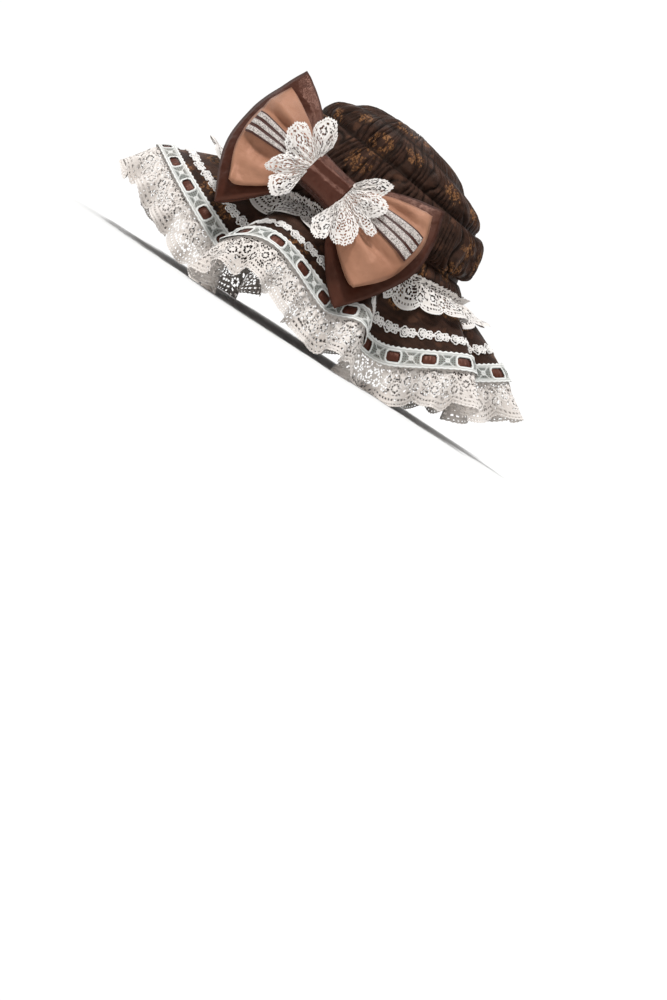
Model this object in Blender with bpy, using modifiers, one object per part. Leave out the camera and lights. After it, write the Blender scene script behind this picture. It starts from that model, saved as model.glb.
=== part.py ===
"""A soft lolita hat: gathered crown, fluted brim, lace and ribbon trims, and a double satin bow.

The row frame is the hat's own: +Z up its axis, -Y its front, +X the wearer's left, where the bow is.
Lengths are in millimetres until a mesh is made. The hat stands on the lowest waves of its lace.
"""

import math
from collections import namedtuple

import bpy
import numpy as np
from mathutils import Vector

MM = 0.001

# The middle of the whole hat, which is longer behind than in front of the crown's own middle.
MIDDLE = (1.8, 4.9, 0.0)

# Walls and gaps.
CLOTH = 1.6
RIBBON = 1.0
LACE = 1.0
SATIN = 1.2
GAP = 0.35

# The brim's inner edge, and the crown's foot that stands on it.
BASE_HALF_WIDTH = 83.0
BASE_HALF_LENGTH = 99.0
BASE_HEIGHT = 94.0
FOOT_HALF_WIDTH = 86.0
FOOT_HALF_LENGTH = 102.0

# Distances from the crown along the brim's cloth.
BRIM_ROWS = (0.0, 5.0, 20.0, 40.0, 47.0, 56.0, 59.5, 67.5, 71.0)
BRIM_END = 67.5
ROSE_ROWS = (40.0, 47.0)
BEADING_ROWS = (56.0, 59.5, 67.5, 71.0)
RIBBON_ROWS = (59.5, 67.5)
TRIM_EDGE = 71.0
EYELETS = 40
BRIM_COLUMNS = 2 * EYELETS
EYELET_SHARE = 0.46
BRIM_BEND = 0.28

# Each row is a crest, a trough or a fold of the trim's outer edge. turn is the angle from the
# wearer's left toward the back, reach is how far the edge is past the crown's foot.
Wave = namedtuple("Wave", "name turn reach height")
WAVES = (
    Wave("front centre", -90, 56, 63),
    Wave("front left crest", -72, 60, 66),
    Wave("left front trough", -31, 31, 26),
    Wave("left fold", -28.5, 53, 37),
    Wave("left crest", -15, 58, 54),
    Wave("side trough", 7, 39, 34),
    Wave("side crest", 17.5, 52, 41),
    Wave("side fold", 22.5, 41, 31),
    Wave("back left trough", 26, 23, 24),
    Wave("back left rise", 40, 25, 25),
    Wave("back left crest", 58, 60, 54),
    Wave("back fold", 66, 49, 46),
    Wave("back trough", 71, 39, 43),
    Wave("back crest", 84, 66, 63),
    Wave("back centre", 98, 52, 55),
    Wave("right back crest", 115, 60, 56),
    Wave("right back trough", 132, 28, 27),
    Wave("right crest", 152, 56, 50),
    Wave("right trough", 170, 30, 27),
    Wave("right front crest", 188, 56, 50),
    Wave("right front trough", 206, 28, 26),
    Wave("front right crest", 227, 58, 56),
    Wave("front right trough", 243, 38, 42),
    Wave("front right rise", 256, 60, 66),
)

# Each row is a ring of the crown. front and back are its Y, half_width its X, and flute is how
# deep its gathers are.
Ring = namedtuple("Ring", "name front back half_width z_front z_side z_back flute")
RINGS = (
    Ring("foot", -102, 102, 86, 95.0, 95.0, 95.0, 0.3),
    Ring("band", -101, 99.5, 85, 102, 102, 101, 0.9),
    Ring("lower shirring", -94, 92, 79, 109, 110, 108.5, 0.3),
    Ring("puff foot", -96, 98, 83, 118, 117, 115, 1.6),
    Ring("puff", -90, 97.5, 82, 138, 132, 126.5, 2.0),
    Ring("puff head", -80, 93, 77, 156, 148, 140, 1.5),
    Ring("middle shirring", -71, 85, 70, 163, 156, 146.5, 0.3),
    Ring("upper puff", -62, 79.5, 66.5, 174, 169, 156.5, 1.6),
    Ring("top shirring", -49, 61, 54, 181, 180, 167.5, 0.3),
    Ring("top edge", -37, 50, 44, 186, 185, 174.5, 1.2),
    Ring("top", -18, 30, 24, 187.5, 187, 181.5, 0.8),
    Ring("top centre", -1, 11, 6, 187, 187, 185.5, 0.0),
)
CROWN_COLUMNS = 52

# The lace at the crown's foot.
CROWN_LACE_START = 5.0
CROWN_LACE_FOLD = 20.0
CROWN_LACE_HEM = 25.5
CROWN_LACE_SCALLOP = 3.5
CROWN_LACE_LIFT = 2.0
CROWN_LACE_RUFFLE = 1.5
CROWN_LACE_FRONT = 6.0
CROWN_LACE_REAR = 2.5
BOW_PRESS_FROM = -62.0
BOW_PRESS_TO = 28.0

# The lace at the brim's edge.
EDGE_LACE_SCALLOPS = 40
EDGE_LACE_START = 68.3
EDGE_LACE_NECK = 9.0
EDGE_LACE_LENGTH = 31.0
EDGE_LACE_SCALLOP = 5.0
EDGE_LACE_RUFFLE = 4.0
EDGE_LACE_HANG = 0.45
FLOOR_LACE = 0.5
FLOOR_PRESS = 0.95

# The bow. Its knot, and how its two sides turn from the plane that faces the wearer's left.
KNOT_AT = (107.0, -33.0, 119.0)
BOW_SLOPE = 12.0
BOW_LEAN = 24.0
FRONT_TURN = 28.0
BACK_TURN = 9.0
LOOP_BEND = 12.0

# Each row is a station along one loop, as a share of its length, with the out of plane places of
# its front and back layers and its half width as a share of the tip's.
Station = namedtuple("Station", "share front back spread")
LARGE_STATIONS = (
    Station(0.0, -3.4, -5.6, 0.13),
    Station(0.2, -3.4, -5.6, 0.14),
    Station(0.34, -3.4, -6.6, 0.5),
    Station(0.58, -3.4, -9.0, 0.76),
    Station(0.86, -3.8, -10.0, 0.94),
    Station(1.0, -7.0, -7.0, 1.0),
)
SMALL_STATIONS = (
    Station(0.0, 3.4, -1.2, 0.13),
    Station(0.225, 3.4, -1.4, 0.14),
    Station(0.37, 7.0, -1.4, 0.5),
    Station(0.58, 11.0, -0.8, 0.74),
    Station(0.86, 11.5, 1.0, 0.94),
    Station(1.0, 6.5, 6.5, 1.0),
)
# Each row is a loop: its length, how far its tip's corners are across the bow, and how far along
# the tip each of the five places across it is, from the lower corner to the upper, as shares.
Loop = namedtuple("Loop", "name length upper lower tip")
LARGE_FRONT = Loop("large front", 93.5, 56.0, -75.0, (0.617, 0.925, 1.0, 0.965, 0.888))
LARGE_BACK = Loop("large back", 96.5, 54.0, -67.0, (0.745, 0.91, 1.0, 0.95, 0.825))
SMALL_FRONT = Loop("small front", 80.5, 31.5, -59.0, (0.69, 0.94, 1.0, 0.985, 0.93))
SMALL_BACK = Loop("small back", 90.0, 38.0, -49.5, (0.81, 0.965, 1.0, 0.97, 0.855))
BOW_ACROSS = (-1.0, -0.5, 0.0, 0.5, 1.0)

# The band of glitter stripes on each small loop: its stations along it, where it starts and ends
# across it, and how far between them its hollows and its raised lines are, by turns.
BAND_STATIONS = (0.42, 0.58, 0.86, 0.95)
BAND_FRONT = (-0.37, -0.02)
BAND_BACK = (-0.11, 0.5)
BAND_LINES = (0.0, 0.14, 0.32, 0.48, 0.66, 0.83, 1.0)
STRIPE_RAISED = 0.5

# The lace fans beside the knot, and the knot.
FAN_STEPS = 20
FAN_INNER = 9.0
FAN_OUTER = 38.0
FAN_SPREAD = 78.0
FAN_FLUTES = 5
FAN_RUFFLE = 2.6
FAN_FLARE = 1.5
FAN_SEAT = 2.8
FAN_CLEAR = 1.2
FAN_WIDER = 1.06
KNOT_LENGTH = 34.0
KNOT_HALF_ACROSS = 14.0
KNOT_FRONT = 5.6
KNOT_BACK = 25.1
KNOT_BACK_SKEW = 4.5
KNOT_BACK_TURN = -18.0
KNOT_STRAIGHT = 7.0
KNOT_SIDES = 14


def material(name, colour, rough):
    made = bpy.data.materials.new(name)
    made.use_nodes = True
    shader = made.node_tree.nodes["Principled BSDF"]
    shader.inputs["Base Color"].default_value = (*colour, 1.0)
    shader.inputs["Roughness"].default_value = rough
    made.diffuse_color = (*colour, 1.0)
    return made


def cloth(name, grid, thick, colour, rough, wraps=True, open_at=(), cap=False):
    """An open grid of points, rows by columns, given a wall by Solidify."""
    rows, columns = grid.shape[:2]
    points = [tuple((p - MIDDLE) * MM) for p in grid.reshape(-1, 3)]
    faces = []
    for r in range(rows - 1):
        for c in range(columns if wraps else columns - 1):
            if (r, c) in open_at:
                continue
            d = (c + 1) % columns
            low, high = r * columns, (r + 1) * columns
            faces.append((low + c, low + d, high + d, high + c))
    if cap:
        faces.append([(rows - 1) * columns + c for c in range(columns)])
    mesh = bpy.data.meshes.new(name)
    mesh.from_pydata(points, [], faces)
    mesh.update()
    piece = bpy.data.objects.new(name, mesh)
    hat.objects.link(piece)
    mesh.materials.append(material(name, colour, rough))
    mesh.polygons.foreach_set("use_smooth", [True] * len(mesh.polygons))
    wall = piece.modifiers.new("wall", "SOLIDIFY")
    wall.thickness = thick * MM
    wall.offset = 0.0
    wall.use_even_offset = True
    wall.use_quality_normals = True
    return piece


def closed_spline(values, samples):
    """A smooth closed curve through rows of values, evenly sampled between rows."""
    count = len(values)
    found = []
    for i in range(samples):
        at = i * count / samples
        k = int(at)
        f = at - k
        a, b, c, d = (values[(k + j) % count] for j in (-1, 0, 1, 2))
        cubic = 3 * (b - c) + d - a
        square = 2 * a - 5 * b + 4 * c - d
        found.append(b + 0.5 * f * (c - a + f * (square + f * cubic)))
    return np.array(found)


def edge_curve(samples=2400):
    """The trim's outer edge, and the turn of the crown's foot that each of its points hangs from."""
    rows = np.array([(w.turn, w.reach, w.height) for w in WAVES], float)
    # The turn grows by a full circle each time round, so its steady part is splined apart.
    steady = np.arange(len(rows)) * 360.0 / len(rows) - 90.0
    rows[:, 0] -= steady
    curve = closed_spline(rows, samples)
    turn = curve[:, 0] + np.arange(samples) * 360.0 / samples - 90.0
    reach, height = curve[:, 1], curve[:, 2]
    a = np.radians(turn)
    edge = np.stack(
        [(FOOT_HALF_WIDTH + reach) * np.cos(a), (FOOT_HALF_LENGTH + reach) * np.sin(a), height], 1
    )
    steps = np.linalg.norm(np.roll(edge, -1, 0) - edge, axis=1)
    along = np.concatenate([[0.0], np.cumsum(steps)])
    return edge, turn, reach, along


def hang_turns(turn, along, spread=0.055):
    """Smooths the edge's turn over a share of the way round, so that the foot has no folds."""
    where = along[:-1] / along[-1]
    smooth = []
    for w in where:
        laps = np.round(where - w)
        near = np.clip(1.0 - np.abs(where - w - laps) / spread, 0.0, None)
        smooth.append(np.sum(near * (turn - 360.0 * laps)) / np.sum(near))
    return np.array(smooth)


def brim_grid():
    """Points of the brim, a row for each distance and a column for each place along the trim."""
    edge, turn, reach, along = edge_curve()
    foot = hang_turns(turn, along)
    total = along[-1]
    unit = np.arange(EYELETS) / EYELETS
    places = np.sort(np.concatenate([unit, unit + EYELET_SHARE / EYELETS])) * total
    loop = np.vstack([edge, edge[:1]])
    at_edge = np.stack([np.interp(places, along, loop[:, k]) for k in range(3)], 1)
    at_foot = np.interp(places, along, np.append(foot, foot[0] + 360.0))
    out = np.interp(places, along, np.append(reach, reach[0]))
    grid = np.zeros((len(BRIM_ROWS), len(places), 3))
    for c, (end, angle, far) in enumerate(zip(at_edge, np.radians(at_foot), out)):
        x, y = math.cos(angle), math.sin(angle)
        inner = np.array([BASE_HALF_WIDTH * x, BASE_HALF_LENGTH * y, BASE_HEIGHT])
        away = np.array([x / BASE_HALF_WIDTH, y / BASE_HALF_LENGTH, 0.0])
        away /= np.linalg.norm(away)
        bend = inner + away * 0.5 * far
        bend[2] -= BRIM_BEND * (BASE_HEIGHT - end[2])
        f = np.linspace(0.0, 1.0, 41)[:, None]
        line = (1 - f) ** 2 * inner + 2 * f * (1 - f) * bend + f**2 * end
        run = np.concatenate([[0.0], np.cumsum(np.linalg.norm(np.diff(line, axis=0), axis=1))])
        for r, distance in enumerate(BRIM_ROWS):
            want = run[-1] * distance / TRIM_EDGE
            grid[r, c] = [np.interp(want, run, line[:, k]) for k in range(3)]
    return grid


def even_normals(grid):
    """A vertex normal for each point of a closed grid, long enough to move its faces by one."""
    rows, columns = grid.shape[:2]
    right = np.roll(grid, -1, 1)
    quads = np.cross(right[:-1] - grid[1:], right[1:] - grid[:-1])
    quads /= np.linalg.norm(quads, axis=2, keepdims=True)
    if quads[0, :, 2].mean() < 0:
        quads = -quads
    normals = np.zeros_like(grid)
    for r in range(rows):
        near = [quads[k] for k in (r - 1, r) if 0 <= k < rows - 1]
        near += [np.roll(q, 1, 0) for q in near]
        mean = sum(near)
        mean /= np.linalg.norm(mean, axis=1, keepdims=True)
        least = np.min([np.sum(mean * q, axis=1) for q in near], axis=0)
        normals[r] = mean / np.clip(least, 0.72, 1.0)[:, None]
    return normals


def on_brim(place, distance):
    """The brim's faceted surface and its normal, at a place in columns and a distance in mm."""
    low = int(math.floor(place)) % BRIM_COLUMNS
    f = place - math.floor(place)
    high = (low + 1) % BRIM_COLUMNS
    r = min(max(int(np.searchsorted(BRIM_ROWS, distance, side="right")) - 1, 0), len(BRIM_ROWS) - 2)
    g = (distance - BRIM_ROWS[r]) / (BRIM_ROWS[r + 1] - BRIM_ROWS[r])
    found = []
    for field in (surface, normal):
        near = field[r, low] * (1 - f) + field[r, high] * f
        far = field[r + 1, low] * (1 - f) + field[r + 1, high] * f
        found.append(near * (1 - g) + far * g)
    return found


def strip(distances, lift):
    """A grid that lies over the brim's own facets at a height above the middle of its cloth."""
    rows = [BRIM_ROWS.index(d) for d in distances]
    return surface[rows] + normal[rows] * lift


def crown_grid():
    grid = np.zeros((len(RINGS), CROWN_COLUMNS, 3))
    for r, ring in enumerate(RINGS):
        middle = (ring.front + ring.back) / 2
        half = (ring.back - ring.front) / 2
        for c in range(CROWN_COLUMNS):
            a = 2 * math.pi * c / CROWN_COLUMNS
            flute = ring.flute * (1 if c % 2 else -1)
            x, y = math.cos(a), math.sin(a)
            level = ring.z_side
            level += (ring.z_back - ring.z_front) / 2 * y
            level += ((ring.z_back + ring.z_front) / 2 - ring.z_side) * y * y
            top = r >= len(RINGS) - 3
            reach = 0.0 if top else flute
            lift = flute if top else 0.0
            grid[r, c] = ((ring.half_width + reach) * x, middle + (half + reach) * y, level + lift)
    return grid


def pressed(turn):
    """How much the bow leaves of a ruffle's lift, from 0 under it to 1 away from it."""
    turn = (turn + 180.0) % 360.0 - 180.0
    middle = (BOW_PRESS_FROM + BOW_PRESS_TO) / 2
    half = (BOW_PRESS_TO - BOW_PRESS_FROM) / 2
    off = abs(turn - middle) - half
    return min(max(off / 14.0, 0.0), 1.0)


def crown_lace_grid():
    grid = np.zeros((3, BRIM_COLUMNS, 3))
    for c in range(BRIM_COLUMNS):
        foot = surface[0, c]
        turn = math.degrees(math.atan2(foot[1] / BASE_HALF_LENGTH, foot[0] / BASE_HALF_WIDTH))
        free = pressed(turn)
        wave = 1 if c % 2 else -1
        hem = CROWN_LACE_HEM + CROWN_LACE_SCALLOP * (1 + wave) / 2
        seat = CLOTH / 2 + GAP + LACE / 2
        front = max(-math.sin(math.radians(turn)), 0.0) ** 4
        rear = max(math.sin(math.radians(turn)), 0.0) ** 2
        lift = CROWN_LACE_LIFT + CROWN_LACE_RUFFLE * wave
        lift = free * (lift + CROWN_LACE_FRONT * front + CROWN_LACE_REAR * rear)
        rows = (
            (CROWN_LACE_START, seat),
            (CROWN_LACE_FOLD, seat + 0.7 * lift),
            (hem, seat + 0.3 + 1.4 * lift),
        )
        for r, (distance, height) in enumerate(rows):
            point, up = on_brim(c, distance)
            grid[r, c] = point + up * height
    return grid


def edge_lace_grid():
    columns = EDGE_LACE_SCALLOPS * 4
    seat = CLOTH / 2 + GAP + LACE / 2
    grid = np.zeros((3, columns, 3))
    for c in range(columns):
        place = c * BRIM_COLUMNS / columns
        start, up = on_brim(place, EDGE_LACE_START)
        above, _ = on_brim(place, 56.0)
        end, _ = on_brim(place, TRIM_EDGE)
        fall = end - above
        fall /= np.linalg.norm(fall)
        back = max(end[1] / np.linalg.norm(end[:2]), 0.0) ** 4
        weight = EDGE_LACE_HANG * (1.0 - 0.7 * back)
        hang = (1.0 - weight) * fall + np.array([0.0, 0.0, -weight])
        hang /= np.linalg.norm(hang)
        phase = c % 4
        wave = (0.0, 1.0, 0.0, -1.0)[phase]
        scallop = (0.0, 0.75, 1.0, 0.75)[phase]
        flat_up = up / np.linalg.norm(up)
        neck = end + flat_up * (seat - 1.6 + 1.5 * wave) + (0.6 * fall + 0.4 * hang) * EDGE_LACE_NECK
        hem = neck + hang * (EDGE_LACE_LENGTH - EDGE_LACE_NECK - EDGE_LACE_SCALLOP * (1 - scallop))
        hem = hem + flat_up * (EDGE_LACE_RUFFLE * wave - 1.0)
        grid[:, c] = (start + up * seat, neck, hem)
    return grid


def settle(grid, floor):
    """Turns what would hang below the floor out along it, as soft lace lies where it rests."""
    for r in range(1, grid.shape[0]):
        for c in range(grid.shape[1]):
            point = grid[r, c]
            below = floor - point[2]
            if below <= 0:
                continue
            away = np.array([point[0], point[1], 0.0])
            away /= np.linalg.norm(away)
            point += away * below * 0.8
            point[2] = floor
    return grid


def stand(piece):
    """Applies the wall and presses its lowest points flat on the floor."""
    graph = bpy.context.evaluated_depsgraph_get()
    mesh = bpy.data.meshes.new_from_object(piece.evaluated_get(graph))
    piece.modifiers.clear()
    piece.data = mesh
    for vertex in mesh.vertices:
        if vertex.co.z < FLOOR_PRESS * MM:
            vertex.co.z = 0.0


def bow_axes(turn):
    """The along, across and outward directions of one side of the bow."""
    slope, lean = math.radians(BOW_SLOPE), math.radians(BOW_LEAN)
    along = Vector((0.0, math.cos(slope), -math.sin(slope)))
    across = Vector((-math.sin(lean), math.sin(slope) * math.cos(lean), math.cos(slope) * math.cos(lean)))
    toward = Vector((1.0, 0.0, 0.0))
    yaw = math.radians(turn)
    turned = (along * math.cos(yaw) + toward * math.sin(yaw)).normalized()
    facing = turned.cross(across).normalized()
    return np.array(turned), np.array(across), np.array(facing)


def bow_point(side, a, w, out):
    """A point on one side of the bow. side is -1 for the front loop and 1 for the back one."""
    past = max(a - KNOT_LENGTH / 2, 0.0)
    turn = FRONT_TURN if side < 0 else BACK_TURN
    near, across, _ = bow_axes(0.0)
    far, _, facing = bow_axes(turn * min(past / LOOP_BEND, 1.0))
    return np.array(KNOT_AT) + side * ((a - past) * near + past * far) + w * across + out * facing


def station_row(side, loop, station, layer):
    """A row of points across a loop at one of its stations, on its front or back layer."""
    row = []
    for w, tip in zip(BOW_ACROSS, loop.tip):
        across = (loop.upper if w > 0 else -loop.lower) * w * station.spread
        a = loop.length * station.share * (1.0 - (1.0 - tip) * station.share)
        row.append(bow_point(side, a, across, getattr(station, layer)))
    return np.array(row)


def loop_row(side, loop, stations, share, layer):
    """A row of points across a loop at any share of its length, on its own facets."""
    k = max(i for i, s in enumerate(stations[:-1]) if s.share <= share)
    near, far = stations[k], stations[k + 1]
    f = (share - near.share) / (far.share - near.share)
    return station_row(side, loop, near, layer) * (1 - f) + station_row(side, loop, far, layer) * f


def bow_grid(front_loop, back_loop, stations):
    """One strip round both loops and back through the waist, as rows of its closed path."""
    rows = []
    for side, loop, layers in ((-1, front_loop, ("back", "front")), (1, back_loop, ("front", "back"))):
        rows += [station_row(side, loop, s, layers[0]) for s in stations[:-1]]
        rows += [station_row(side, loop, s, layers[1]) for s in stations[:0:-1]]
    return np.array(rows).transpose(1, 0, 2)


def band_grid(side, loop, limits):
    """The dark band with its stripes raised, over a small loop's front layer."""
    facing = bow_axes(FRONT_TURN if side < 0 else BACK_TURN)[2]
    rows = []
    for share in BAND_STATIONS:
        layer = loop_row(side, loop, SMALL_STATIONS, share, "front")
        row = []
        for k, line in enumerate(BAND_LINES):
            at = limits[0] + (limits[1] - limits[0]) * line
            point = np.array([np.interp(at, BOW_ACROSS, layer[:, j]) for j in range(3)])
            row.append(point + facing * (SATIN / 2 + GAP + 0.6 + STRIPE_RAISED * (k % 2)))
        rows.append(row)
    return np.array(rows)


def fan_grid(side, loop):
    """A lace fan that is gathered at the knot's end and spreads over a small loop."""
    shares = [s.share for s in SMALL_STATIONS]
    fronts = [s.front for s in SMALL_STATIONS]
    grid = np.zeros((3, FAN_STEPS + 1, 3))
    for c in range(FAN_STEPS + 1):
        f = 2.0 * c / FAN_STEPS - 1.0
        angle = math.radians(FAN_SPREAD) * f
        wave = math.cos(math.pi * FAN_FLUTES * f)
        for r, reach in enumerate((0.0, 0.5, 1.0)):
            radius = FAN_INNER + (FAN_OUTER - FAN_INNER) * reach * (1.0 + 0.08 * wave)
            inset = FAN_INNER * math.cos(math.radians(FAN_SPREAD))
            a = KNOT_LENGTH / 2 + FAN_CLEAR + radius * math.cos(angle) - inset
            w = radius * math.sin(angle) * FAN_WIDER
            under = np.interp(a / loop.length, shares, fronts)
            lift = FAN_SEAT + FAN_RUFFLE * reach * (1.0 + wave) + FAN_FLARE * reach
            grid[r, c] = bow_point(side, a, w, under + lift)
    return grid


def knot_grid():
    """A band round both waists. Its back is sewn to the crown, so it reaches straight in to it."""
    rows = []
    along, across, outward = bow_axes(0.0)
    back = math.radians(KNOT_BACK_TURN)
    sewn_to = np.array([math.cos(back), math.sin(back), 0.0])
    for f in (-1.0, -0.4, 0.4, 1.0):
        row = []
        swell = 1.0 + 0.06 * f * f
        for k in range(KNOT_SIDES):
            a = 2 * math.pi * k / KNOT_SIDES
            square = 1.0 / (abs(math.cos(a)) ** 3 + abs(math.sin(a)) ** 3) ** (1 / 3)
            w = KNOT_HALF_ACROSS * math.cos(a) * square * swell
            point = np.array(KNOT_AT) + along * f * KNOT_LENGTH / 2
            if math.sin(a) > 0:
                point += outward * KNOT_FRONT * math.sin(a) * square
            else:
                deep = (KNOT_BACK - KNOT_BACK_SKEW * f) * -math.sin(a) * square
                w *= 1.0 - 0.3 * max(-math.sin(a) - 0.5, 0.0) * 2.0
                point -= outward * min(deep, KNOT_STRAIGHT)
                point -= sewn_to * max(deep - KNOT_STRAIGHT, 0.0)
            row.append(point + across * w)
        rows.append(row)
    return np.array(rows)


for old in list(bpy.data.objects):
    bpy.data.objects.remove(old)
hat = bpy.data.collections.new("hat")
bpy.context.scene.collection.children.link(hat)
cutters = bpy.data.collections.new("cutters")
bpy.context.scene.collection.children.link(cutters)

surface = brim_grid()
normal = even_normals(surface)
eyelets = {(1, c) for c in range(0, BRIM_COLUMNS, 2)}
over_brim = CLOTH / 2 + GAP
over_ribbon = over_brim + RIBBON + 1.5 * GAP

DARK_CLOTH = (0.045, 0.02, 0.014)
DARK_SATIN = (0.11, 0.032, 0.022)
TAN_SATIN = (0.38, 0.19, 0.11)
WHITE_LACE = (0.82, 0.79, 0.74)

brim_rows = [BRIM_ROWS.index(d) for d in BRIM_ROWS if d <= BRIM_END]
cloth("brim", surface[brim_rows], CLOTH, DARK_CLOTH, 0.6)
cloth("crown", crown_grid(), CLOTH, DARK_CLOTH, 0.6, cap=True)
cloth("crown_lace", crown_lace_grid(), LACE, WHITE_LACE, 0.8)
cloth("rose_trim", strip(ROSE_ROWS, over_brim + LACE / 2), LACE, WHITE_LACE, 0.8)
cloth("beading_ribbon", strip(RIBBON_ROWS, over_brim + RIBBON / 2), RIBBON, DARK_SATIN, 0.35)
cloth("beading_lace", strip(BEADING_ROWS, over_ribbon + LACE / 2), LACE, WHITE_LACE, 0.8, open_at=eyelets)
stand(cloth("edge_lace", settle(edge_lace_grid(), FLOOR_LACE), LACE, WHITE_LACE, 0.8))
cloth("bow_large", bow_grid(LARGE_FRONT, LARGE_BACK, LARGE_STATIONS), SATIN, DARK_SATIN, 0.35)
cloth("bow_small", bow_grid(SMALL_FRONT, SMALL_BACK, SMALL_STATIONS), SATIN, TAN_SATIN, 0.4)
cloth("glitter_band_front", band_grid(-1, SMALL_FRONT, BAND_FRONT), RIBBON, (0.5, 0.42, 0.36), 0.4, wraps=False)
cloth("glitter_band_back", band_grid(1, SMALL_BACK, BAND_BACK), RIBBON, (0.5, 0.42, 0.36), 0.4, wraps=False)
cloth("bow_lace_front", fan_grid(-1, SMALL_FRONT), LACE, WHITE_LACE, 0.8, wraps=False)
cloth("bow_lace_back", fan_grid(1, SMALL_BACK), LACE, WHITE_LACE, 0.8, wraps=False)
cloth("knot", knot_grid(), SATIN, DARK_SATIN, 0.35)
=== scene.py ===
"""The look of the lolita hat: gathered jacquard, pierced lace, ribbons, guipure roses and satin bows.

Lengths are in millimetres in the hat's own frame until a mesh is made, as in the part's source:
+Z up the hat's axis, -Y its front, +X the wearer's left.
"""

import math
from collections import namedtuple

import bpy
import numpy as np
from mathutils import Matrix, Vector


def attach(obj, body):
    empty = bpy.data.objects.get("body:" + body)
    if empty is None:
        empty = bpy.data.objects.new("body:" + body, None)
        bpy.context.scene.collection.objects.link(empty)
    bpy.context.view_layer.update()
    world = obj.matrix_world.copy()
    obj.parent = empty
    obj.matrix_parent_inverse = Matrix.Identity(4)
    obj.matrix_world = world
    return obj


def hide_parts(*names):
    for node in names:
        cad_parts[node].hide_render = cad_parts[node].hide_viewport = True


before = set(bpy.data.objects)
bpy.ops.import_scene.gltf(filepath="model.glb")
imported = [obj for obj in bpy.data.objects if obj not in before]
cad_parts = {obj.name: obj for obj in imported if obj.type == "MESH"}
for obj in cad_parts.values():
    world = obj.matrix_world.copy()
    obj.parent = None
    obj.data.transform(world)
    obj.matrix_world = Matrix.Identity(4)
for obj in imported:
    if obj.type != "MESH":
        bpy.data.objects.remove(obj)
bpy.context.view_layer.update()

MM = 0.001
MIDDLE = np.array([1.8, 4.9, 0.0])
rng = np.random.default_rng(7)

# Sizes that the part's source also has.
CLOTH = 1.6
BASE_HALF_WIDTH = 83.0
BASE_HALF_LENGTH = 99.0
BASE_HEIGHT = 94.0
FOOT_HALF_WIDTH = 86.0
FOOT_HALF_LENGTH = 102.0
BRIM_END = 67.5
TRIM_EDGE = 71.0
BRIM_BEND = 0.28
EYELETS = 40
EYELET_SHARE = 0.46
ROSE_LINE = 43.5
BEADING_FROM = 56.0
BEADING_TO = 71.0

Wave = namedtuple("Wave", "name turn reach height")
WAVES = (
    Wave("front centre", -90, 56, 63),
    Wave("front left crest", -72, 60, 66),
    Wave("left front trough", -31, 31, 26),
    Wave("left fold", -28.5, 53, 37),
    Wave("left crest", -15, 58, 54),
    Wave("side trough", 7, 39, 34),
    Wave("side crest", 17.5, 52, 41),
    Wave("side fold", 22.5, 41, 31),
    Wave("back left trough", 26, 23, 24),
    Wave("back left rise", 40, 25, 25),
    Wave("back left crest", 58, 60, 54),
    Wave("back fold", 66, 49, 46),
    Wave("back trough", 71, 39, 43),
    Wave("back crest", 84, 66, 63),
    Wave("back centre", 98, 52, 55),
    Wave("right back crest", 115, 60, 56),
    Wave("right back trough", 132, 28, 27),
    Wave("right crest", 152, 56, 50),
    Wave("right trough", 170, 30, 27),
    Wave("right front crest", 188, 56, 50),
    Wave("right front trough", 206, 28, 26),
    Wave("front right crest", 227, 58, 56),
    Wave("front right trough", 243, 38, 42),
    Wave("front right rise", 256, 60, 66),
)
Ring = namedtuple("Ring", "name front back half_width z_front z_side z_back flute")
RINGS = (
    Ring("foot", -102, 102, 86, 95.0, 95.0, 95.0, 0.3),
    Ring("band", -101, 99.5, 85, 102, 102, 101, 0.9),
    Ring("lower shirring", -94, 92, 79, 109, 110, 108.5, 0.3),
    Ring("puff foot", -96, 98, 83, 118, 117, 115, 1.6),
    Ring("puff", -90, 97.5, 82, 138, 132, 126.5, 2.0),
    Ring("puff head", -80, 93, 77, 156, 148, 140, 1.5),
    Ring("middle shirring", -71, 85, 70, 163, 156, 146.5, 0.3),
    Ring("upper puff", -62, 79.5, 66.5, 174, 169, 156.5, 1.6),
    Ring("top shirring", -49, 61, 54, 181, 180, 167.5, 0.3),
    Ring("top edge", -37, 50, 44, 186, 185, 174.5, 1.2),
    Ring("top", -18, 30, 24, 187.5, 187, 181.5, 0.8),
    Ring("top centre", -1, 11, 6, 187, 187, 185.5, 0.0),
)
SHIRRING_ROWS = (2, 6, 8)

KNOT_AT = np.array([107.0, -33.0, 119.0])
BOW_SLOPE = 12.0
BOW_LEAN = 24.0
FRONT_TURN = 28.0
BACK_TURN = 9.0
LOOP_BEND = 12.0
KNOT_LENGTH = 34.0
Station = namedtuple("Station", "share front back spread")
LARGE_STATIONS = (
    Station(0.0, -3.4, -5.6, 0.13),
    Station(0.2, -3.4, -5.6, 0.14),
    Station(0.34, -3.4, -6.6, 0.5),
    Station(0.58, -3.4, -9.0, 0.76),
    Station(0.86, -3.8, -10.0, 0.94),
    Station(1.0, -7.0, -7.0, 1.0),
)
SMALL_STATIONS = (
    Station(0.0, 3.4, -1.2, 0.13),
    Station(0.225, 3.4, -1.4, 0.14),
    Station(0.37, 7.0, -1.4, 0.5),
    Station(0.58, 11.0, -0.8, 0.74),
    Station(0.86, 11.5, 1.0, 0.94),
    Station(1.0, 6.5, 6.5, 1.0),
)
Loop = namedtuple("Loop", "length upper lower tip")
LARGE_FRONT = Loop(93.5, 56.0, -75.0, (0.617, 0.925, 1.0, 0.965, 0.888))
LARGE_BACK = Loop(96.5, 54.0, -67.0, (0.745, 0.91, 1.0, 0.95, 0.825))
SMALL_FRONT = Loop(80.5, 31.5, -59.0, (0.69, 0.94, 1.0, 0.985, 0.93))
SMALL_BACK = Loop(90.0, 38.0, -49.5, (0.81, 0.965, 1.0, 0.97, 0.855))
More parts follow.
